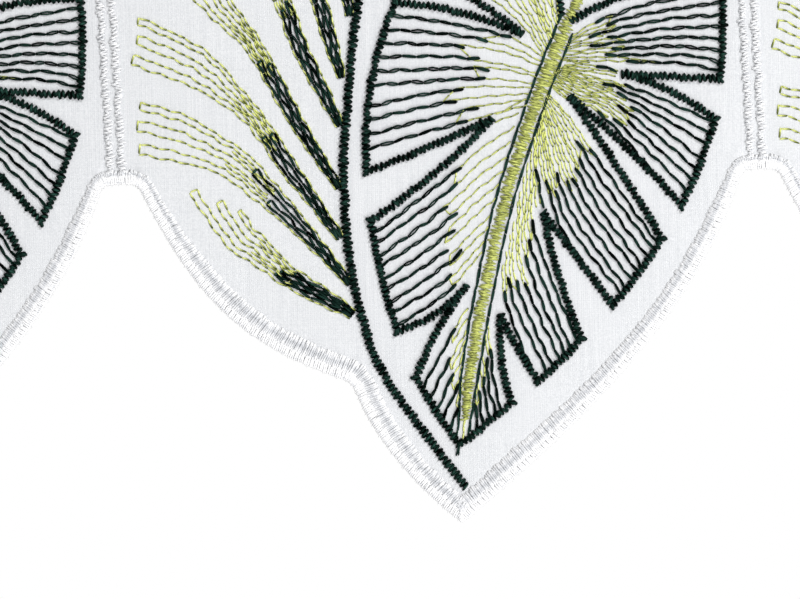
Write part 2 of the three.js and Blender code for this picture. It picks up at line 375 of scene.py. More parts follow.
def bowed(start, end, steps=24):
    """An arc from one corner to the next, which bulges to its left by the second one's bow."""
    a, b = np.array(start[:2]), np.array(end[:2])
    along = (b - a) / np.linalg.norm(b - a)
    side = np.array([-along[1], along[0]])
    t = np.linspace(0, 1, steps + 1)[:, None]
    return a * (1 - t) + b * t + side * 4 * end[2] * t * (1 - t)


def spline(table, steps=16):
    """A smooth curve through a table's rows, whatever their columns."""
    rows = np.array(table, float)
    padded = np.vstack([2 * rows[0] - rows[1], rows, 2 * rows[-1] - rows[-2]])
    t = np.linspace(0, 1, steps, endpoint=False)[:, None]
    runs = []
    for before, start, end, after in zip(padded, padded[1:], padded[2:], padded[3:]):
        bend = (2 * start, end - before, 2 * before - 5 * start + 4 * end - after,
                3 * start - before - 3 * end + after)
        runs.append(0.5 * (bend[0] + bend[1] * t + bend[2] * t**2 + bend[3] * t**3))
    return np.vstack([*runs, rows[-1:]])


class Line:
    """A line in the drawing plane that can be read at any length along it."""

    def __init__(self, points):
        self.points = np.asarray(points, float)
        steps = np.linalg.norm(np.diff(self.points[:, :2], axis=0), axis=1)
        self.places = np.concatenate([[0], np.cumsum(steps)])
        self.length = self.places[-1]

    def at(self, place):
        columns = [np.interp(place, self.places, column) for column in self.points.T]
        return np.stack(columns, axis=-1)

    def side(self, place, reach=0.4):
        """The direction to the left, smoothed over a reach on both sides."""
        place = np.clip(place, 0, self.length)
        ahead = self.at(np.minimum(place + reach, self.length))
        along = (ahead - self.at(np.maximum(place - reach, 0)))[..., :2]
        along /= np.linalg.norm(along, axis=-1, keepdims=True)
        return np.stack([-along[..., 1], along[..., 0]], axis=-1)

    def nearest(self, target, columns=slice(0, 2)):
        """The length along the line at which the given columns come nearest to the target."""
        away = np.linalg.norm(np.atleast_2d((self.points[:, columns] - target).T), axis=0)
        return self.places[np.argmin(away)]


# Stitches. Each is a row of places from the hole where its thread comes up to the hole where it goes
# down, with a height, a half thickness and a tone at each place. A profile has the places as shares of
# the stitch's length, and the heights and the thickness there. The tones paint light and shade: low in
# the holes for painted shade, high on the crest for a painted highlight, with some random change.

SATIN_PROFILE = ((0, 0.09, 0.5, 0.91, 1), (-0.7, 0.35, 1, 0.35, -0.7), (0, 0.95, 1, 0.95, 0))
SATIN_TONES = (0, 0.15, 1, 0.15, 0)
# how the painted highlight's strength spreads from stitch to stitch, and how much darker a deeper stitch is
# painted
SATIN_HIGHLIGHT_POWER = 1.5
DIP_SHADE = 1.5
ROW_PROFILE = ((0, 0.22, 0.78, 1), (-0.7, 1, 1, -0.7), (0, 1, 1, 0))
ROW_TONES = (0.7, 0.85, 0.85, 0.7)
RIB_TONES = (0, 0.65, 1, 0.65, 0)

RUN_SHARES = (0, 0.1, 0.36, 0.62, 0.88, 1)
RUN_HEIGHT = np.array([-1.0, 0.6, 1.1, 1.1, 0.6, -1.0])
RUN_TAPER = (0, 0.9, 1.05, 1.05, 0.9, 0)
RUN_LAP = 0.12
RUN_AIM = (1.0, -0.6)
EVEN_TONES = (0.3, 0.75, 1, 1, 0.75, 0.3)
LOOP_TONES = (0, 0.3, 0.7, 0.7, 0.3, 0)
LOOP_LAP = 0.15
LIGHT_TAPER = (0, 0.9, 0.95, 1.05, 1.05, 0)

LINK_SHARES = (0, 0.14, 0.5, 0.86, 1)
LINK_HEIGHT = np.array([-1.0, 0.7, 1.1, 0.7, -1.0])
LINK_TAPER = (0, 0.95, 1.05, 0.95, 0)
LINK_SPREAD = np.array([0, 0.4, 1, 0.4, 0])
LINK_CLOSED = np.array([0.03, 0.08, 0.1, 0.08, 0.03])
LINK_TONES = (0, 0.35, 0.85, 0.35, 0)
LINK_RANGE = (0.3, 1.4)
LINK_LAP = 0.2


def noise(shape, size):
    return rng.uniform(-size, size, shape)


def stitches(starts, ends, shares, heights, radius, tones, taper=1.0):
    """One stitch for each pair of holes, with its rings at the given shares of its length."""
    run = (ends - starts)[:, None]
    flat = starts[:, None] + run * np.array(shares)[:, None]
    places = np.dstack([flat, np.broadcast_to(heights, flat.shape[:2])])
    thickness = np.broadcast_to(radius * np.array(taper), flat.shape[:2])
    return places, thickness, np.array(tones) + noise((len(flat), 1), SATIN_TONE_STRAY)


def zigzag(line, width, pitch, base, rise, radius, tones, jitter, dip, shift, vary=0.0,
           profile=SATIN_PROFILE):
    """A satin row: the thread goes from side to side of the line. width may be a function of place.

    The width strays by up to jitter and the holes by up to shift. Every second stitch lies deeper by
    dip, and its tone is lowered by DIP_SHADE times that for painted shade. A share vary of the tone, the
    painted highlight on the crest, changes at random from stitch to stitch."""
    count = max(int(round(line.length / pitch)), 2)
    place = np.linspace(0, line.length, count + 1)
    half = (width(place) if callable(width) else width) / 2
    swing = np.where(np.arange(count + 1) % 2 == 0, 1.0, -1.0) * half + noise(count + 1, jitter)
    holes = line.at(place)[:, :2] + line.side(place) * swing[:, None] + noise((count + 1, 2), shift)
    deeper = dip * (np.arange(count) % 2)[:, None]
    shares, dome, taper = profile
    high = base + rise * np.array(dome) - deeper + noise((count, 1), SATIN_HEIGHT_STRAY)
    highlight_share = 1 - vary + vary * rng.random((count, 1)) ** SATIN_HIGHLIGHT_POWER
    tone = np.array(tones) * highlight_share - DIP_SHADE * deeper
    return stitches(holes[:-1], holes[1:], shares, high, radius, tone, taper)


def sewn(length, sway, first, last, shares, lap, turn=None):
    """Where a wavy row of stitches runs: the places of each stitch's rings, and how far off the line.

    The holes lie on alternate sides of the line, from the left if turn is 0, and each stitch runs on
    past its holes by lap."""
    turn = rng.integers(2) if turn is None else turn
    count = max(int(round((last - first) / length)), 1)
    place = np.linspace(first, last, count + 1)
    place[1:-1] += noise(count - 1, HOLE_STRAY * length)
    off = np.where(np.arange(count + 1) % 2 == turn, sway, -sway) * rng.uniform(*SWAY_RANGE, count + 1)
    share = np.array(shares)
    rings = place[:-1, None] - lap + (np.diff(place)[:, None] + 2 * lap) * share
    return rings, off[:-1, None] + np.diff(off)[:, None] * (1 - np.cos(math.pi * share)) / 2


def threads(line, rings, off, high, radius, tone, taper):
    """Stitches whose rings lie at the given places and distances off the line."""
    rings = np.clip(rings, 0, line.length)
    flat = line.at(rings)[..., :2] + line.side(rings) * off[..., None]
    places = np.dstack([flat, np.broadcast_to(high, rings.shape)])
    thickness = np.broadcast_to(radius * np.array(taper), rings.shape)
    return places, thickness, tone + noise((len(rings), 1), RUN_TONE_STRAY)


def running(line, length, base, radius, sway, first=0.0, tones=EVEN_TONES, lap=RUN_LAP, taper=RUN_TAPER):
    """A row of single stitches along the line, each turned so that it runs the way RUN_AIM points, so
    that the painted shade at the end of its tones falls on that side.
    """
    rings, off = sewn(length, sway, first, line.length, RUN_SHARES, lap)
    high = base + radius * RUN_HEIGHT + noise((len(rings), 1), RUN_HEIGHT_STRAY)
    places, thickness, tone = threads(line, rings, off, high, radius, np.array(tones), taper)
    turned = (places[:, -1, :2] - places[:, 0, :2]) @ np.array(RUN_AIM) < 0
    places[turned] = places[turned, ::-1]
    return places, thickness, tone


def twin(line, opening, first, last):
    """Two threads that meet at each hole and part between them, like links of a chain.

    The first link is closed and has a third thread on top."""
    rings, off = sewn(VEIN_STITCH, VEIN_SWAY, first, last, LINK_SHARES, LINK_LAP)
    link = opening * rng.uniform(*LINK_RANGE, (len(rings), 1)) * LINK_SPREAD
    link[0] = 0
    thick = np.where(np.arange(len(rings)) == 0, VEIN_HEAD, 1.0)[:, None] * VEIN_RADIUS
    high = DARK_BASE + thick * LINK_HEIGHT
    tone = np.array(LINK_TONES) * rng.uniform(*DARK_RANGE, (len(rings), 1))
    apart = LINK_CLOSED * thick / VEIN_RADIUS + link
    rows = [
        threads(line, rings, off + sign * apart, high + lift, thick, tone, LINK_TAPER)
        for sign, lift in ((1, 0.0), (-1, LIFT))
    ]
    rows.append(threads(line, rings[:1], off[:1], high[:1] + HEAD_LIFT, thick[:1], tone[:1], LINK_TAPER))
    return rows


# Meshes


def relief(x, v):
    """How far the hanging cloth stands forward of flat, in soft waves that grow towards the lower edge."""
    down = np.clip((TOP - v) / HEIGHT, 0, 1)
    wide = 0.7 * np.sin(x / 47 + 0.6) + 0.35 * np.sin(x / 23 + v / 61 + 2)
    small = 0.12 * np.sin(x / 7.3 + v / 12.1) * np.sin(v / 8.9 - x / 15.7 + 1)
    return down * wide + np.minimum(4 * down, 1) * small


def to_metres(x, v, h):
    return np.stack([(x - WIDTH / 2) * MM, -h * MM, (v - TOP) * MM], axis=-1)


def make_mesh(name, places, groups, material, tone=None, smooth=True):
    """A mesh object of places in metres. Each group holds polygons with the same number of corners."""
    mesh = bpy.data.meshes.new(name)
    corners = np.concatenate([group.ravel() for group in groups]).astype(np.int32)
    sizes = np.concatenate([np.full(len(group), group.shape[1]) for group in groups])
    mesh.vertices.add(len(places))
    mesh.vertices.foreach_set("co", places.astype(np.float32).ravel())
    mesh.loops.add(len(corners))
    mesh.loops.foreach_set("vertex_index", corners)
    mesh.polygons.add(len(sizes))
    starts = np.concatenate([[0], np.cumsum(sizes)[:-1]]).astype(np.int32)
    mesh.polygons.foreach_set("loop_start", starts)
    mesh.polygons.foreach_set("use_smooth", np.full(len(sizes), smooth))
    if tone is not None:
        layer = mesh.attributes.new("tone", "FLOAT", "POINT")
        layer.data.foreach_set("value", np.clip(tone, 0, 1).astype(np.float32))
    mesh.update(calc_edges=True)
    mesh.validate()
    mesh.materials.append(material)
    piece = bpy.data.objects.new(name, mesh)
    bpy.context.scene.collection.objects.link(piece)
    return piece


def tubes(batch, sides, squash, side_shade):
    """Vertices, tones, quads and triangles of one tube round each stitch, pointed at both ends.

    The tone of the last corner of each ring, on the stitch's right, is lowered by the given amount: painted
    shade on that side of the thread."""
    places, thickness, tone = batch
    count, rings, _ = places.shape
    along = np.gradient(places, axis=1)
    along /= np.linalg.norm(along, axis=2, keepdims=True)
    across = np.cross(along, (0.0, 0.0, 1.0))
    across /= np.linalg.norm(across, axis=2, keepdims=True) + 1e-12
    upward = np.cross(across, along)
    angle = 2 * math.pi * (np.arange(sides) / sides + 0.25)
    ring = (across[:, :, None] * np.cos(angle)[:, None]
            + squash * upward[:, :, None] * np.sin(angle)[:, None])
    body = places[:, 1:-1, None] + ring[:, 1:-1] * thickness[:, 1:-1, None, None]
    inner = rings - 2
    points = np.concatenate([body.reshape(count, inner * sides, 3), places[:, [0]], places[:, [-1]]], axis=1)
    shaded_corner = np.where(np.arange(sides) == sides - 1, side_shade, 0.0)
    belt_tone = (tone[:, 1:-1, None] - shaded_corner).reshape(count, inner * sides)
    tones = np.concatenate([belt_tone, tone[:, [0]], tone[:, [-1]]], axis=1)
    corner = np.arange(sides)
    after = (corner + 1) % sides
    belt = np.stack([corner, corner + sides, after + sides, after], axis=1)
    quads = (belt[None] + (np.arange(inner - 1) * sides)[:, None, None]).reshape(-1, 4)
    first, final = inner * sides, inner * sides + 1
    last = (inner - 1) * sides
    caps = np.concatenate([
        np.stack([np.full(sides, first), corner, after], axis=1),
        np.stack([np.full(sides, final), last + after, last + corner], axis=1),
    ])
    offset = (np.arange(count) * points.shape[1])[:, None, None]
    return (points.reshape(-1, 3), tones.ravel(),
            (quads[None] + offset).reshape(-1, 4), (caps[None] + offset).reshape(-1, 3))


def copies(batches, repeats=range(REPEATS)):
    """The stitches of one repeat, set in each of the given repeats, as u, v and h of the whole curtain."""
    return [
        (places + (repeat * REPEAT, 0, 0), thickness, tone)
        for repeat in repeats for places, thickness, tone in batches
    ]


def thread_piece(name, batches, material, nodes=(), squash=1.0, side_shade=0.0, sides=3):
    """All threads of one kind as one piece that rides on the part. Its slot is named as its material is."""
    points, tones, quads, caps = zip(*(tubes(batch, sides, squash, side_shade) for batch in batches))
    base = np.cumsum([0] + [len(part) for part in points])
    groups = [np.concatenate([part + b for part, b in zip(parts, base)]) for parts in (quads, caps)]
    x, v, h = np.concatenate(points).T
    piece = make_mesh(name, to_metres(x, v, h + relief(x, v)), groups, material, np.concatenate(tones))
    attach(piece, "root")
    if nodes:
        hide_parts(*nodes)
    return piece


def numbered(name, count=REPEATS):
    return [f"{name}_{i + 1}" for i in range(count)]


# Materials. The two shares say how much a thread's fine fibres and slow drift change its tone.

FIBRE_SCALE = 2600.0
FIBRE_SHARE = 0.5
DRIFT_SCALE = 90.0
DRIFT_SHARE = 0.2
BUMP_DEPTH = 0.00006
WEAVE_PITCH = 0.35
SLUB_LENGTH = 14.0
SLUB_WIDTH = 0.3
GRAIN = 0.25
# a wave texture's period is 2 pi / 20 of its unit
WAVE_SCALE = 2 * math.pi / (20 * WEAVE_PITCH * MM)
WHITE = (1, 1, 1, 1)


def fill(tree, node, **inputs):
    """Sets a node's inputs to a value, or links them to another node's socket."""
    for key, value in inputs.items():
        socket = node.inputs[int(key[1:])] if key[0] == "_" else node.inputs[key.replace("_", " ")]
        if isinstance(value, bpy.types.NodeSocket):
            tree.links.new(value, socket)
        else:
            socket.default_value = value


def add_node(tree, kind, settings=(), **inputs):
    """A shader node with its settings, and its inputs as fill sets them."""
    node = tree.nodes.new(kind)
    for key, value in dict(settings).items():
        setattr(node, key, value)
    fill(tree, node, **inputs)
    return node


def add_math(tree, operation, *values):
    """A math node on the given numbers and sockets, and the socket of its result."""
    inputs = {f"_{i}": value for i, value in enumerate(values)}
    return add_node(tree, "ShaderNodeMath", {"operation": operation}, **inputs).outputs[0]


def new_material(name):
    material = bpy.data.materials.new(name)
    material.use_nodes = True
    tree = material.node_tree
    return material, tree, tree.nodes["Principled BSDF"]


def colour(red, green, blue):
    """A colour given in screen values of 0 to 255."""
    screen = np.array([red, green, blue]) / 255
    linear = np.where(screen < 0.04045, screen / 12.92, ((screen + 0.055) / 1.055) ** 2.4)
    return (*linear, 1.0)


def thread_material(name, shade, light, roughness, specular, tint, sheen):
    """Embroidery thread: its tone runs from painted shade in a stitch's hole to the full colour on top, where
    it is a painted highlight.
    """
    material, tree, shader = new_material(name)
    tone = add_node(tree, "ShaderNodeAttribute", {"attribute_name": "tone"})
    place = add_node(tree, "ShaderNodeTexCoord").outputs["Object"]
    fibre, drift = (
        add_node(tree, "ShaderNodeTexNoise", Vector=place, Scale=scale, Detail=detail).outputs["Fac"]
        for scale, detail in ((FIBRE_SCALE, 2.0), (DRIFT_SCALE, 1.0))
    )
    level = add_math(tree, "MULTIPLY_ADD", fibre, FIBRE_SHARE, tone.outputs["Fac"])
    level = add_math(tree, "MULTIPLY_ADD", drift, DRIFT_SHARE, level)
    level = add_math(tree, "SUBTRACT", level, (FIBRE_SHARE + DRIFT_SHARE) / 2)
    level.node.use_clamp = True
    mixed = add_node(tree, "ShaderNodeMix", {"data_type": "RGBA"}, _0=level, _6=shade, _7=light)
    bump = add_node(tree, "ShaderNodeBump", Height=fibre, Strength=0.5, Distance=BUMP_DEPTH)
    fill(tree, shader, Base_Color=mixed.outputs[2], Normal=bump.outputs["Normal"], Roughness=roughness,
         Specular_IOR_Level=specular, Specular_Tint=tint, Sheen_Weight=sheen)
    return material


def cloth_material(shade, light):
    """Fine plain weave: uneven yarns and grain in the colour, and the weave itself as relief."""
    material, tree, shader = new_material("white_cloth")
    place = add_node(tree, "ShaderNodeTexCoord").outputs["Object"]
    grain = add_node(tree, "ShaderNodeTexNoise", Vector=place, Scale=1 / (GRAIN * MM), Detail=1.0)
    total = grain.outputs["Fac"]
    across, along = 1 / (SLUB_WIDTH * MM), 1 / (SLUB_LENGTH * MM)
    for scale, weight in (((across, 1.0, along), 0.8), ((along, 1.0, across), 0.35)):
        stretched = add_node(tree, "ShaderNodeMapping", Vector=place, Scale=scale)
        yarn = add_node(tree, "ShaderNodeTexNoise", Vector=stretched.outputs[0], Scale=1.0, Detail=2.0)
        total = add_math(tree, "MULTIPLY_ADD", yarn.outputs["Fac"], weight, total)
    ramp = add_node(tree, "ShaderNodeMapRange", Value=total, From_Min=0.75, From_Max=1.4)
    mixed = add_node(tree, "ShaderNodeMix", {"data_type": "RGBA"}, _0=ramp.outputs[0], _6=shade, _7=light)
    waves = [
        add_node(tree, "ShaderNodeTexWave", {"bands_direction": direction}, Vector=place,
                 Scale=WAVE_SCALE, Distortion=1.5, Detail=2.0, Detail_Scale=0.6).outputs["Fac"]
        for direction in ("X", "Z")
    ]
    height = add_math(tree, "ADD", add_math(tree, "MULTIPLY", *waves), total)
    bump = add_node(tree, "ShaderNodeBump", Height=height, Strength=0.3, Distance=BUMP_DEPTH)
    fill(tree, shader, Base_Color=mixed.outputs[2], Normal=bump.outputs["Normal"], Roughness=0.9,
         Specular_IOR_Level=0.1, Sheen_Weight=0.05)
    return material


white_cloth = cloth_material(colour(213, 215, 218), colour(232, 233, 235))
white_thread, dark_thread, light_thread = (
    thread_material(*row) for row in (
        # slot, painted shade in the holes, colour on top with its painted highlight, roughness, shine, colour
        # of the shine, sheen
        ("white_thread", colour(202, 204, 208), colour(253, 253, 254), 0.5, 0.15, WHITE, 0.05),
        ("dark_thread", colour(0, 2, 1), colour(46, 80, 70), 0.3, 0.03, (0.7, 1, 0.9, 1), 0.0),
        ("light_thread", colour(66, 80, 0), colour(245, 251, 152), 0.42, 0.12, (1, 1, 0.7, 1), 0.0),
    )
)


# Cloth: one sheet of columns from the scalloped edge up, over the top fold and down the hem's back

edge_of_repeat = scallop_edge()


def cloth_sheet():
    """The cloth's piece, and its area in square metres without what the scallops cut away."""
    columns = [edge_of_repeat + (0, 0)]
    columns += [edge_of_repeat[1:] + (repeat * REPEAT, 0) for repeat in range(1, REPEATS)]
    foot = np.vstack(columns)
    share = np.linspace(0, 1, UPRIGHT) ** 1.15
    fold_top = TOP - FOLD_RADIUS - FRONT
    turn = np.linspace(0, np.pi, FOLD_STEPS)
    down = np.array([0.3, 0.6, 1.0]) * (HEM_HEIGHT - FOLD_RADIUS)
    level, back = np.zeros(UPRIGHT), np.ones(len(down))

    x = np.repeat(foot[:, :1], UPRIGHT + len(turn) + len(down), axis=1)
    rise_v = foot[:, 1:] + (fold_top - foot[:, 1:]) * share
    turn_v = np.broadcast_to(fold_top + FOLD_RADIUS * np.sin(turn), (len(foot), len(turn)))
    down_v = np.broadcast_to(fold_top - down, (len(foot), len(down)))
    v = np.hstack([rise_v, turn_v, down_v])
    mid = np.concatenate([level, FOLD_RADIUS * (np.cos(turn) - 1), -2 * FOLD_RADIUS * back])
    outward_v = np.concatenate([level, np.sin(turn), 0 * back])
    outward_h = np.concatenate([level + 1, np.cos(turn), -back])
    wave = relief(x, v)
    outer = to_metres(x, v + FRONT * outward_v, mid + FRONT * outward_h + wave)
    inner = to_metres(x, v - FRONT * outward_v, mid - FRONT * outward_h + wave)

    index = np.arange(x.size).reshape(x.shape)
    a, b = index[:-1, :-1].ravel(), index[1:, :-1].ravel()
    c, d = index[1:, 1:].ravel(), index[:-1, 1:].ravel()
    faces = [np.stack([a, b, c, d], axis=1), np.stack([a, d, c, b], axis=1) + x.size]
    rim = np.concatenate([index[:, 0], index[-1, 1:], index[-2::-1, -1], index[0, -2:0:-1]])
    onward = np.roll(rim, -1)
    faces.append(np.stack([rim, rim + x.size, onward + x.size, onward], axis=1))
    places = np.concatenate([outer.reshape(-1, 3), inner.reshape(-1, 3)])
    piece = make_mesh("curtain_cloth", places, faces, white_cloth)
    heights = TOP - (foot[1:, 1] + foot[:-1, 1]) / 2
    front = np.sum(np.diff(foot[:, 0]) * heights)
    return piece, (front + WIDTH * (HEM_HEIGHT - 2 * FOLD_RADIUS)) * MM * MM


cloth, cloth_area = cloth_sheet()
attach(cloth, "root")
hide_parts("cloth")


# White satin along the lower edge. The edging has darker dashes of DASH_RUN stitches at one ring: a
# painted shadow line near its outer rim.

EDGE_SMOOTHING = 0.9
DASH_RING = 2
DASH_RUN = 3
DASH_DEPTH = (0.3, 0.6)

edge_line = Line(edge_of_repeat)
reach_shares, reach_inner = np.array(BORDER_REACH).T


def border_band(outer, inner, shares, heights, tones, spread, taper, slant, dashes=0.0):
    """Stitches across the lower edge. spread is how much the tone varies at each place of a stitch.

    Their pitch is kept on the edge, or BORDER_DEPTH in from it where they lie further apart there."""
    fine = np.linspace(0, edge_line.length, 900)
    inner_side = edge_line.at(fine) + BORDER_DEPTH * edge_line.side(fine, EDGE_SMOOTHING)
    step = np.maximum(np.diff(fine), np.linalg.norm(np.diff(inner_side, axis=0), axis=1))
    run = np.concatenate([[0], np.cumsum(step)])
    count = int(round(run[-1] / BORDER_PITCH))
    place = np.interp((np.arange(count) + 0.5) * run[-1] / count, run, fine)
    far = np.clip(place + slant + noise(count, SLANT_STRAY), 0, edge_line.length)
    reach = inner(place / edge_line.length)[:, None] if callable(inner) else inner
    side = edge_line.side(place, EDGE_SMOOTHING)
    starts = edge_line.at(place) + side * (outer + noise((count, 1), OUTER_STRAY))
    ends = edge_line.at(far) + side * (reach + noise((count, 1), INNER_STRAY))
    tone = np.array(tones) + noise((count, len(tones)), 1) * np.array(spread)
    tone += noise((count, 1), SATIN_TONE_STRAY)
    dashed = np.repeat(rng.random(count // DASH_RUN + 1) < dashes, DASH_RUN)[:count]
    tone[:, DASH_RING] -= np.where(dashed, rng.uniform(*DASH_DEPTH, count), 0)
    high = np.array(heights) + noise((count, 1), RUN_HEIGHT_STRAY)
    return stitches(starts, ends, shares, high, WHITE_RADIUS, tone, taper)


# the wide satin's tones dip in its middle: painted shade along the groove of its crown
border_satin = border_band(
    BORDER_OUTER, lambda share: np.interp(share, reach_shares, reach_inner) - BORDER_SHORT,
    shares=(0, 0.1, 0.34, 0.52, 0.72, 0.92, 1), heights=(0.05, 0.36, 0.4, 0.38, 0.44, 0.26, 0.05),
    tones=(1, 0.95, 0.4, 0.1, 0.5, 0.95, 1), spread=(0, 0.1, 0.25, 0.25, 0.25, 0.1, 0),
    taper=(0, 1, 0.95, 0.9, 1, 1, 0), slant=0.15)
border_edge = border_band(
    EDGING_OUTER, EDGING_INNER,
    shares=(0, 0.12, 0.24, 0.36, 0.88, 1), heights=(0.05, 0.24, 0.28, 0.36, 0.4, 0.3),
    tones=(1, 1, 0.9, 1, 1, 1), spread=(0, 0.05, 0.1, 0.1, 0.05, 0),
    taper=(0, 1.25, 1.1, 1, 1, 0), slant=-0.15, dashes=0.5)


# White rows up the cloth. The ones above an inner notch lean to the left, the ones at the sides don't.
# A share of their places are darker specks: painted shade of the gaps between the stitches.

SPECK_SHARE = 0.1
SPECK_DEPTH = 0.5


def row_batch(middle, leans):
    foot, above = (ROW_LEAN_FOOT, ROW_LEAN_ABOVE) if leans else (0.0, 0.0)
    line = Line([(middle + foot, ROW_FOOT), (middle + above, ROW_BEND), (middle + above, TOP - ROW_HEAD)])
    places, thickness, tone = zigzag(line, ROW_WIDTH, ROW_PITCH, ROW_BASE, ROW_RISE, ROW_RADIUS, ROW_TONES,
                                     jitter=0.3, dip=0.08, shift=0.2, profile=ROW_PROFILE)
    tone += noise(tone.shape, ROW_TONE_STRAY) - SPECK_DEPTH * (rng.random(tone.shape) < SPECK_SHARE)
    return places, thickness, tone


all_rows = []
for leans, left_in, right_in in (
    (True, range(1, REPEATS), range(REPEATS - 1)),
    (False, [0], [REPEATS - 1]),
):
    all_rows += copies([row_batch(ROW_OFFSET, leans)], left_in)
    all_rows += copies([row_batch(REPEAT - ROW_OFFSET, leans)], right_in)


# The split leaf's outline in dark satin, with spikes of thread at each outer corner

SPIKE_TURNS = (-0.12, 0.1)
SPIKE_BACK = 0.4
TIP_THICKNESS = 0.6


def dark_satin(line, width):
    return zigzag(line, width, SATIN_PITCH, SATIN_BASE, SATIN_RISE, SATIN_RADIUS, SATIN_TONES,
                  jitter=0.15, dip=0.16, shift=0.1, vary=0.9)


def corner_spikes():
    """Two short threads that run on past each outer corner."""
    starts, ends, thick = [], [], []
    for i, row in enumerate(LEAF_OUTLINE[1:-1], start=1):
        if i in INNER_CORNERS:
            continue
        corner = np.array(row[:2])
        before = corner - leaf_edges[i - 1][-4]
        after = leaf_edges[i][3] - corner
        out = before / np.linalg.norm(before) - after / np.linalg.norm(after)
        out /= np.linalg.norm(out)
        reach = TIP_SPIKE if i == TIP_CORNER else SPIKE
        for turn in SPIKE_TURNS:
            aim = np.array([out[0] - turn * out[1], out[1] + turn * out[0]])
            starts.append(corner - SPIKE_BACK * aim)
            ends.append(corner + (reach + noise(1, SPIKE_STRAY)[0]) * aim)
            thick.append(TIP_THICKNESS if i == TIP_CORNER else 1)
    return stitches(np.array(starts), np.array(ends), shares=(0, 0.15, 0.5, 0.9, 1),
                    heights=SATIN_BASE + np.array([0, 0.3, 0.3, 0.15, -0.1]),
                    radius=SATIN_RADIUS * np.array(thick)[:, None], tones=(0, 0.2, 0.4, 0.2, 0))


leaf_edges = [bowed(start, end) for start, end in zip(LEAF_OUTLINE, LEAF_OUTLINE[1:])]
outline_batches = [dark_satin(Line(edge), OUTLINE_WIDTH) for edge in leaf_edges]
spikes = corner_spikes()

# Midrib and stalk in two layers of light satin, with one thread down to the leaf's tip

midrib = Line(spline(LEAF_MIDRIB))
midrib_batches = [
    zigzag(midrib, lambda place: midrib.at(place)[:, 2] + RIB_SPREAD, RIB_PITCH, LIGHT_BASE, RIB_RISE,
           RIB_RADIUS, RIB_TONES, jitter=0.2, dip=0.1, shift=0.22, vary=0.5),
    zigzag(midrib, lambda place: UPPER_RIB * midrib.at(place)[:, 2], UPPER_RIB * RIB_PITCH, UPPER_RIB_BASE,
           RIB_RISE, UPPER_RIB * RIB_RADIUS, RIB_TONES, jitter=0.5, dip=0.14, shift=0.3, vary=0.5),
    running(Line(RIB_TAIL), RIB_TAIL_STITCH, LIGHT_BASE, RIB_TAIL_RADIUS, sway=0.1),
]

# The frond's stem in dark satin

stem = Line(spline(FROND_STEM))
stem_batch = dark_satin(stem, lambda place: stem.at(place)[:, 2])


# The leaf's veins: light lines out from the midrib, then dark double lines to the outline. The more a
# light line of the leaf lies level, the darker it is painted, by up to FLAT_SHADE: painted shade for how
# little light a level thread catches. Each kind of light line has the length of its stitches, their
# radius and their tones, which end in painted shade.

LEAF_LIGHT = (1.6, 0.165, (0.8, 1, 1, 0.9, 0.1, 0.3))
FROND_LIGHT = (1.75, 0.18, (0.6, 1, 1, 0.3, 0, 0))
LIGHT_BACK = 0.7
LIGHT_SPREAD = 0.25
LIGHT_STEP = 0.5
FLAT_SHADE = 0.4

whole_outline = Line(np.vstack(leaf_edges))
leaf_light, leaf_dark = [], []


def light_line(batches, line, kind, sway=LIGHT_SWAY):
    """Adds a light line, whose first stitch starts up to half its length early."""
    length, radius, tones = kind
    first = rng.uniform(-0.5, 0) * length
    places, thickness, tone = running(line, length, LIGHT_BASE, radius, sway, first, tones, taper=LIGHT_TAPER)
    if kind is LEAF_LIGHT:
        run = line.points[-1, :2] - line.points[0, :2]
        tone -= FLAT_SHADE * run[0] ** 2 / (run @ run)
    batches.append((places, thickness, tone))


def light_loop(batches, there, back, kind):
    """Two light lines, joined by a stitch across their outer ends."""
    light_line(batches, there, kind)
    light_line(batches, Line([there.points[-1], back.points[-1]]), kind, LIGHT_END_SWAY)
    light_line(batches, back, kind)


def fan(first, last, axis, dark, lines, over=(0.5, 2.5), opening=0.05):
    """One fan of veins, a dark one for each turn in dark, and its light lines in loops."""
    first, last = np.array(first), np.array(last)
    column = {"u": 0, "v": 1}[axis]

    def across(share, back=0.0):
        """The fan's line at that share of its spread. It ends on the outline, and may start further back."""
        rows = first + (last - first) * share
        rows[-1] = whole_outline.at(whole_outline.nearest(rows[-1]))
        rows[0] += back * (rows[0] - rows[1]) / np.linalg.norm(rows[0] - rows[1])
        return Line(spline(rows, 12))

    shares = np.linspace(0, 1, len(dark))
    begins = []
    for share, turn in zip(shares, dark):
        vein = across(share)
        begins.append(vein.nearest(turn, column) / vein.length)
        leaf_dark.extend(twin(vein, opening, begins[-1] * vein.length, vein.length - VEIN_SHORT))
    light_shares = np.clip(np.linspace(0, 1, lines) + noise(lines, LIGHT_SPREAD / lines), 0, 1)
    for pair in range(0, lines, 2):
        ways = []
        for share in light_shares[pair:pair + 2]:
            line = across(share, LIGHT_BACK)
            end = np.interp(share, shares, begins) * line.length + rng.uniform(*over)
            end = min(end, line.length - LIGHT_SHORT)
            ways.append(Line(line.at(np.linspace(0, end, max(int(end / LIGHT_STEP), 2)))))
        light_loop(leaf_light, *ways, LEAF_LIGHT)


for row in FANS:
    fan(*row)
for row in LIGHT_FILLERS:
    light_line(leaf_light, Line(spline(row)), LEAF_LIGHT)
for row in DARK_FILLERS:
    leaf_dark.extend(twin(Line(row), opening=0.05, first=0.0, last=Line(row).length))

# Dark lines beside the midrib, of two strands each. ROPE_TOPS is how high the right and left one reach.

ROPE_TOPS = ((1, 24.2), (-1, 26.5))
ROPE_SMOOTHING = 1.0

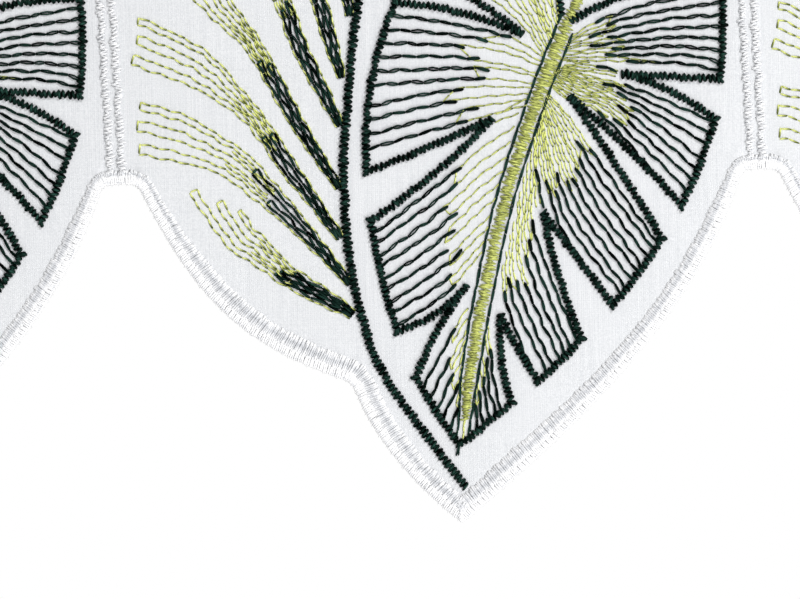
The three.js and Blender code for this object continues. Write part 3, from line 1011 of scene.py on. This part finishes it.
flank_v, flank_gap = np.array(FLANK).T
for side, top in ROPE_TOPS:
    last = np.interp(top, midrib.points[:, 1], midrib.places)
    way = Line(np.vstack([[ROPE_FOOT], midrib.at(np.linspace(0, last, 90))]))
    fine = np.linspace(0, way.length, 120)
    gap = np.interp(way.at(fine)[:, 1], flank_v, flank_gap)
    flank = Line(way.at(fine)[:, :2] - side * way.side(fine, ROPE_SMOOTHING) * gap[:, None])
    for strand, start in ((1, 0.0), (-1, ROPE_STITCH / 2)):
        shifted = Line(flank.points + strand * ROPE_HALF * flank.side(flank.places))
        leaf_dark.append(running(shifted, ROPE_STITCH, DARK_BASE, ROPE_RADIUS, ROPE_SWAY, start, LOOP_TONES))


# The frond's leaflets: loops of light lines, with loops of dark lines over their inner part. The outer
# light lines and the dark ones start near the stem. The inner light lines start FINGER_BACK before the
# place where the fingers join, and the lines in the joint run from JOINT_BACK before it to JOINT_ON past it.

LANE_STEP = 0.4
LANE_SMOOTHING = 1.5
WAVE_RANGE = (0.6, 1.3)
LIGHT_START = 0.5
DARK_START = 0.3
FINGER_BACK = (1.0, 3.5)
JOINT_BACK = 2.0
JOINT_ON = (5.0, 9.0)

frond_light, frond_dark = [], []


def loop_strands(lanes_at):
    """Dark threads side by side. Neighbours swing towards each other and apart in turn."""
    for i, way in enumerate(lanes_at):
        rings, off = sewn(LOOP_STITCH, LOOP_SWAY, 0.0, way.length, RUN_SHARES, LOOP_LAP, i % 2)
        high = DARK_BASE + LIFT * (i % 2) + LOOP_SQUASH * LOOP_RADIUS * RUN_HEIGHT
        tone = np.array(LOOP_TONES) * rng.uniform(*DARK_RANGE, (len(rings), 1))
        frond_dark.append(threads(way, rings, off, high, LOOP_RADIUS, tone, RUN_TAPER))


def wavy(line):
    """The line with a wave, at whose crests the stitches of all threads along it meet."""
    place = np.arange(0, line.length, LOOP_STITCH / 6)
    crests = math.ceil(line.length / LOOP_STITCH) + 2
    sway = LEAFLET_SWAY * np.where(np.arange(crests) % 2 == 0, 1, -1) * rng.uniform(*WAVE_RANGE, crests)
    before = (place // LOOP_STITCH).astype(int)
    share = (1 - np.cos(math.pi * (place / LOOP_STITCH - before))) / 2
    off = sway[before] * (1 - share) + sway[before + 1] * share
    row = line.at(place)
    row[:, :2] += line.side(place) * off[:, None]
    return Line(row)


def leaflet(path, turns, shorter):
    middle = wavy(Line(spline(path, 12)))

    def lane(position, first, last):
        place = np.linspace(first, last, max(int((last - first) / LANE_STEP), 4))
        row = middle.at(place)
        return Line(row[:, :2] + middle.side(place, LANE_SMOOTHING) * (position * row[:, 2])[:, None])

    ends = [middle.nearest(turn) for turn in turns]
    joint = sum(ends) / len(ends)
    for lanes, cut in zip(FINGER_LANES, shorter):
        ways = []
        for position in lanes:
            first = LIGHT_START if abs(position) == 1 else joint - rng.uniform(*FINGER_BACK)
            ways.append(lane(position, first, middle.length - cut + noise(1, FINGER_STRAY)[0]))
        light_loop(frond_light, *ways, FROND_LIGHT)
    for position in JOINT_LANES:
        inner = lane(position, joint - JOINT_BACK, joint + rng.uniform(*JOINT_ON))
        light_line(frond_light, inner, FROND_LIGHT)
    spread = np.linspace(-DARK_SPREAD, DARK_SPREAD, 2 * len(ends))
    lanes_at = [lane(position, DARK_START, ends[i // 2]) for i, position in enumerate(spread)]
    loop_strands(lanes_at)
    for left, right in zip(lanes_at[::2], lanes_at[1::2]):
        turn = Line([left.points[-1], right.points[-1]])
        frond_dark.append(running(turn, LOOP_STITCH, DARK_BASE, LOOP_RADIUS, sway=0.0, tones=LOOP_TONES))


for row in LEAFLETS:
    leaflet(*row)


# The back: the same rows with the bobbin thread, plainer and flatter

BACK_JOINED = 3
BACK_LAP = 0.12
BACK_TONE = 0.75
BACK_HEIGHT = (-FRONT + 0.05, -FRONT - 0.16, -FRONT + 0.05)
BACK_THICKNESS = (0, 0.26, 0)


def back_of(batches):
    """A bobbin thread behind every few stitches of each row, from the first one's hole to the last one's."""
    turned = []
    for places, _, _ in batches:
        first = places[::BACK_JOINED, :, :2]
        final = np.arange(len(first)) * BACK_JOINED + BACK_JOINED - 1
        last = places[np.minimum(final, len(places) - 1), :, :2]
        whole = np.linalg.norm(last[:, -1] - first[:, 0], axis=1)
        inside = np.linalg.norm(last[:, 0] - first[:, -1], axis=1)
        onward = (whole > inside)[:, None]
        start = np.where(onward, first[:, 0], first[:, -1])
        end = np.where(onward, last[:, -1], last[:, 0])
        lap = BACK_LAP * (end - start)
        flat = np.stack([start - lap, (start + end) / 2, end + lap], axis=1)
        high, thickness = (np.broadcast_to(row, flat.shape[:2]) for row in (BACK_HEIGHT, BACK_THICKNESS))
        tone = BACK_TONE + noise(flat.shape[:2], BACK_TONE_STRAY)
        turned.append((np.dstack([flat, high]), thickness, tone))
    return turned


def hem_stitches():
    """One row across the whole width, with its back behind the hem."""
    v = TOP - HEM_STITCH_HEIGHT
    line = Line([(HEM_MARGIN, v), (REPEAT - HEM_MARGIN, v)])
    places, thickness, tone = running(line, HEM_STITCH, FRONT, HEM_STITCH_RADIUS, sway=0.0, lap=0.0)
    behind = places.copy()
    behind[..., 2] = -places[..., 2] - 2 * FOLD_RADIUS
    return [(places, thickness, tone), (behind, thickness, tone)]


# The pieces of thread, all sewn to the cloth

with_pieces = [thread_piece(*row) for row in [
    # name, stitches, material, nodes it replaces, squash, painted shade on the thread's right side, sides of
    # a tube
    ("border_satin_threads", copies([border_satin]), white_thread, ["border_satin"], WHITE_SQUASH, 0.0, 4),
    ("border_edge_threads", copies([border_edge]), white_thread, ["border_edge"], WHITE_SQUASH),
    ("row_threads", all_rows, white_thread, numbered("row", 2 * REPEATS), ROW_SQUASH),
    ("leaf_outline_threads", copies([*outline_batches, spikes]), dark_thread, numbered("leaf_outline")),
    ("leaf_midrib_threads", copies(midrib_batches), light_thread, numbered("leaf_midrib")),
    ("frond_stem_threads", copies([stem_batch]), dark_thread, numbered("frond_stem")),
    ("leaf_light_threads", copies(leaf_light), light_thread, (), LIGHT_SQUASH, SIDE_SHADE),
    ("leaf_dark_threads", copies(leaf_dark), dark_thread),
    ("frond_light_threads", copies(frond_light), light_thread, (), LIGHT_SQUASH, SIDE_SHADE),
    ("frond_dark_threads", copies(frond_dark), dark_thread, (), LOOP_SQUASH),
    ("back_white_threads", back_of([*copies([border_satin, border_edge]), *all_rows]), white_thread),
    ("back_dark_threads", copies(back_of([*outline_batches, stem_batch, *leaf_dark, *frond_dark])),
     dark_thread),
    ("back_light_threads", copies(back_of([midrib_batches[0], *leaf_light, *frond_light])), light_thread),
    ("hem_threads", copies(hem_stitches()), white_thread),
]]

# Camera: at the photo's framing of the middle repeat, turned a little about its own axis

VIEW_U, VIEW_V = 47.1, -20.7
VIEW_WIDTH = 135.3
VIEW_ROLL = 1.4
LENS = 100.0
SENSOR = 36.0

distance = VIEW_WIDTH * LENS / SENSOR
camera_data = bpy.data.cameras.new("camera")
camera_data.lens = LENS
camera_data.sensor_width = SENSOR
camera_data.clip_start = 0.01
camera = bpy.data.objects.new("camera", camera_data)
camera.location = to_metres(VIEW_U + REPEATS // 2 * REPEAT, VIEW_V, distance).tolist()
camera.rotation_euler = (math.radians(90), math.radians(VIEW_ROLL), 0)
bpy.context.scene.collection.objects.link(camera)
bpy.context.scene.camera = camera

# Studio, in metres: a white surround that is dimmer in front, two soft lights and a pale floor

LIGHTS = [
    # name, size, power, place, aim
    ("key", 0.3, 17.8, (0.9, -1.2, 0.75), (0, 0, -0.2)),
    ("low_fill", 0.4, 2.8, (0.4, -0.5, -0.7), (0, 0, -0.25)),
]
FLOOR_RADIUS = 2.4
FLOOR_DROP = 0.55
FLOOR_CORNERS = 64
FLOOR_COLOUR = (0.82, 0.82, 0.82, 1)

world = bpy.data.worlds.new("studio")
world.use_nodes = True
sky = world.node_tree
direction = add_node(sky, "ShaderNodeTexCoord")
parts = add_node(sky, "ShaderNodeSeparateXYZ", _0=direction.outputs["Generated"])
dimmer = add_node(sky, "ShaderNodeMapRange", {"interpolation_type": "SMOOTHSTEP"},
                  Value=parts.outputs["Y"], From_Min=-0.6, From_Max=0.1, To_Min=0.3, To_Max=1.0)
fill(sky, sky.nodes["Background"], Color=WHITE, Strength=dimmer.outputs[0])
bpy.context.scene.world = world
bpy.context.scene.view_settings.view_transform = "Standard"


def soft_light(name, size, power, place, aim):
    data = bpy.data.lights.new(name, "AREA")
    data.shape = "DISK"
    data.size = size
    data.energy = power
    light = bpy.data.objects.new(name, data)
    light.location = place
    run = np.array(aim) - np.array(place)
    flat = math.hypot(run[0], run[1])
    light.rotation_euler = (math.atan2(flat, -run[2]), 0, math.atan2(run[1], run[0]) - math.pi / 2)
    bpy.context.scene.collection.objects.link(light)


def floor():
    angle = 2 * math.pi * np.arange(FLOOR_CORNERS) / FLOOR_CORNERS
    low = np.full(FLOOR_CORNERS, cloth_low[2] - FLOOR_DROP)
    places = np.stack([FLOOR_RADIUS * np.cos(angle), FLOOR_RADIUS * np.sin(angle), low], axis=1)
    material, tree, shader = new_material("floor")
    fill(tree, shader, Base_Color=FLOOR_COLOUR, Roughness=0.8)
    ground = make_mesh("floor", places, [np.arange(FLOOR_CORNERS)[None]], material, smooth=False)


for row in LIGHTS:
    soft_light(*row)
floor()
